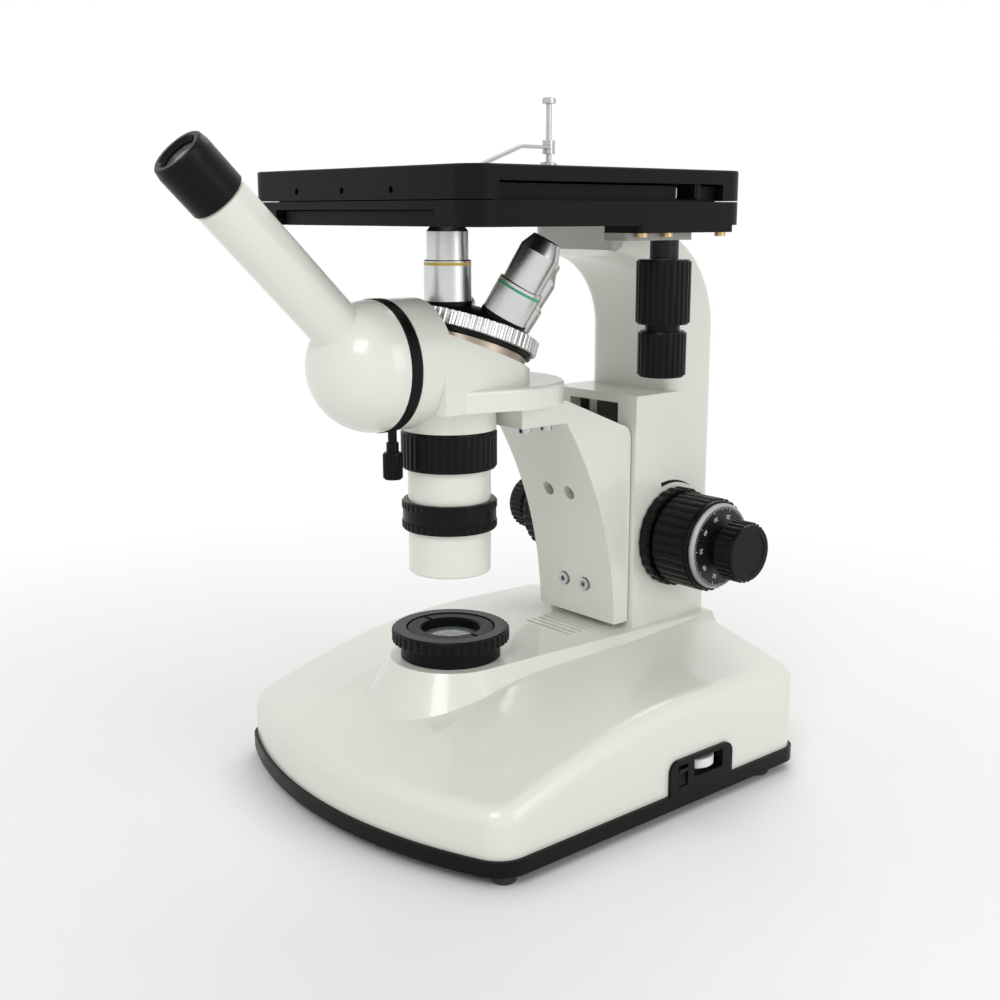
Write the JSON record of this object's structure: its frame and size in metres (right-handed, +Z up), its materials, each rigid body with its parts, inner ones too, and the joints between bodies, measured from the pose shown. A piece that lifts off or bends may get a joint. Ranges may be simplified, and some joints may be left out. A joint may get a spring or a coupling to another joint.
{
  "type": "inverted microscope",
  "caption": "Inverted microscope with a monocular inclined tube on a swivelling ball head, objective turret under a mechanical stage, coaxial focus and a broad lit base.",
  "frame": {"origin": "on the vertical optical axis, at bench level under the feet", "axes": "+Z up; -Y is the user's side, where the eyepiece is; +X is the user's right; the column stands at +Y"},
  "size_m": [0.2287, 0.331, 0.37],
  "materials": {
    "white_enamel": "gloss enamel, warm greenish white",
    "black_enamel": "satin black",
    "black_anodised": "black anodised, satin",
    "black_plastic": "moulded, satin",
    "grey_plastic": "moulded",
    "chrome": "satin chrome",
    "steel": "machined",
    "aluminium": "turned",
    "brass": "turned",
    "glass": "coated lens",
    "mirror": "front-surface mirror",
    "rubber": "matt"
  },
  "bodies": {
    "stand": {"base_shell": "white_enamel", "bottom_plate": "black_enamel", "rubber_feet": "rubber", "base_screws": "steel", "side_panel": "black_plastic", "power_inlet": "black_plastic", "supply_board": "grey_plastic", "base_mirror": "mirror", "lamp": "glass", "collector_mount": "black_anodised", "collector_lens": "glass", "column_casting": "white_enamel", "column_screws": "steel", "guide_rails": "steel", "shaft_bushes": "brass", "stage_base": "black_anodised"},
    "collector_ring": {"collector_ring": "black_plastic"},
    "brightness_wheel": {"brightness_wheel": "black_plastic"},
    "power_rocker": {"power_rocker": "black_plastic"},
    "coarse_drive": {"pinion_shaft": "steel", "coarse_knobs": "black_plastic"},
    "tension_ring": {"tension_ring": "black_plastic"},
    "fine_drive": {"fine_dial": "aluminium", "fine_knobs": "black_plastic"},
    "coarse_carriage": {"coarse_slide": "steel"},
    "focus_carriage": {"fine_slide": "brass", "focus_bracket": "white_enamel", "head_casting": "white_enamel", "head_screws": "steel", "head_optics": "glass", "illuminator_tube": "white_enamel", "turret_base": "brass"},
    "aperture_ring": {"aperture_ring": "black_plastic"},
    "field_ring": {"field_ring": "black_plastic"},
    "turret": {"turret_dome": "black_enamel", "turret_ring": "chrome", "objective_10x": "chrome", "objective_40x": "chrome", "objective_100x": "chrome", "objective_4x": "chrome"},
    "eye_head": {"swivel_ring": "black_anodised", "ball_housing": "white_enamel", "head_prism": "glass"},
    "eyepiece": {"eyepiece": "black_plastic", "eye_lens": "glass"},
    "lock_screw": {"lock_screw": "black_plastic"},
    "stage_y": {"y_plate": "black_anodised", "carrier_plate": "black_anodised", "bearing_plate": "grey_plastic", "carrier_screws": "brass"},
    "stage_x": {"stage_top": "black_anodised", "x_rack": "steel", "stage_insert": "black_anodised", "clip_post": "chrome"},
    "y_knob": {"y_knob": "black_plastic", "y_pinion": "steel"},
    "x_knob": {"x_knob": "black_plastic", "x_pinion": "steel"},
    "clip_collar": {"clip_collar": "chrome"},
    "clip_arm": {"clip_arm": "chrome"}
  },
  "joints": [
    {"name": "collector_turn", "type": "hinge", "parent": "stand", "child": "collector_ring", "pos_m": [0, 0, 0.0872], "axis": [0, 0, 1], "range_deg": [0, 120]},
    {"name": "brightness_turn", "type": "hinge", "parent": "stand", "child": "brightness_wheel", "pos_m": [0.1034, 0.0835, 0.025], "axis": [0, 0, 1], "range_deg": [0, 270]},
    {"name": "power_rock", "type": "hinge", "parent": "stand", "child": "power_rocker", "pos_m": [0.1085, 0.0635, 0.0235], "axis": [0, -1, 0], "range_deg": [0, 16]},
    {"name": "coarse_turn", "type": "hinge", "parent": "stand", "child": "coarse_drive", "pos_m": [0, 0.139, 0.1258], "axis": [-1, 0, 0], "range_deg": [0, 172]},
    {"name": "tension_turn", "type": "hinge", "parent": "stand", "child": "tension_ring", "pos_m": [0.038, 0.139, 0.1258], "axis": [1, 0, 0], "range_deg": [0, 60]},
    {"name": "fine_turn", "type": "hinge", "parent": "stand", "child": "fine_drive", "pos_m": [0, 0.139, 0.1258], "axis": [-1, 0, 0], "range_deg": [-900.1, 900.1]},
    {"name": "coarse_lift", "type": "slide", "parent": "stand", "child": "coarse_carriage", "axis": [0, 0, 1], "range_m": [0, 0.018]},
    {"name": "fine_lift", "type": "slide", "parent": "coarse_carriage", "child": "focus_carriage", "axis": [0, 0, 1], "range_m": [-0.0005, 0.0005]},
    {"name": "aperture_turn", "type": "hinge", "parent": "focus_carriage", "child": "aperture_ring", "pos_m": [0, 0, 0.189], "axis": [0, 0, 1], "range_deg": [-60, 60]},
    {"name": "field_turn", "type": "hinge", "parent": "focus_carriage", "child": "field_ring", "pos_m": [0, 0, 0.154], "axis": [0, 0, 1], "range_deg": [-60, 60]},
    {"name": "turret_turn", "type": "hinge", "parent": "focus_carriage", "child": "turret", "pos_m": [0, 0, 0.20601], "axis": [0, 0.3584, 0.9336], "continuous": true},
    {"name": "head_swivel", "type": "hinge", "parent": "focus_carriage", "child": "eye_head", "pos_m": [0, -0.0485, 0.2355], "axis": [0, 1, 0], "range_deg": [-90, 90]},
    {"name": "eyepiece_turn", "type": "hinge", "parent": "eye_head", "child": "eyepiece", "pos_m": [0, -0.0485, 0.2355], "axis": [0, -0.7071, 0.7071], "continuous": true},
    {"name": "lock_turn", "type": "hinge", "parent": "focus_carriage", "child": "lock_screw", "pos_m": [0, -0.0368, 0.184], "axis": [0, 0, 1], "range_deg": [-360, 0]},
    {"name": "y_travel", "type": "slide", "parent": "stand", "child": "stage_y", "axis": [0, 1, 0], "range_m": [-0.0075, 0.0075]},
    {"name": "x_travel", "type": "slide", "parent": "stage_y", "child": "stage_x", "axis": [1, 0, 0], "range_m": [-0.0075, 0.0075]},
    {"name": "y_knob_turn", "type": "hinge", "parent": "stage_y", "child": "y_knob", "pos_m": [0.076, 0.08, 0.27], "axis": [0, 0, 1], "range_deg": [-86, 86]},
    {"name": "x_knob_turn", "type": "hinge", "parent": "stage_y", "child": "x_knob", "pos_m": [0.076, 0.08, 0.24], "axis": [0, 0, -1], "range_deg": [-86, 86]},
    {"name": "clip_lift", "type": "slide", "parent": "stage_x", "child": "clip_collar", "axis": [0, 0, 1], "range_m": [0, 0.018]},
    {"name": "clip_swing", "type": "hinge", "parent": "clip_collar", "child": "clip_arm", "pos_m": [0, 0.07, 0.3445], "axis": [0, 0, 1], "range_deg": [-80, 80]}
  ],
  "couplings": [
    {"joint": "coarse_turn", "follows": "coarse_lift", "rad_per_m": 166.67},
    {"joint": "fine_turn", "follows": "fine_lift", "rad_per_m": 31416},
    {"joint": "y_knob_turn", "follows": "y_travel", "rad_per_m": 200},
    {"joint": "x_knob_turn", "follows": "x_travel", "rad_per_m": 200}
  ]
}
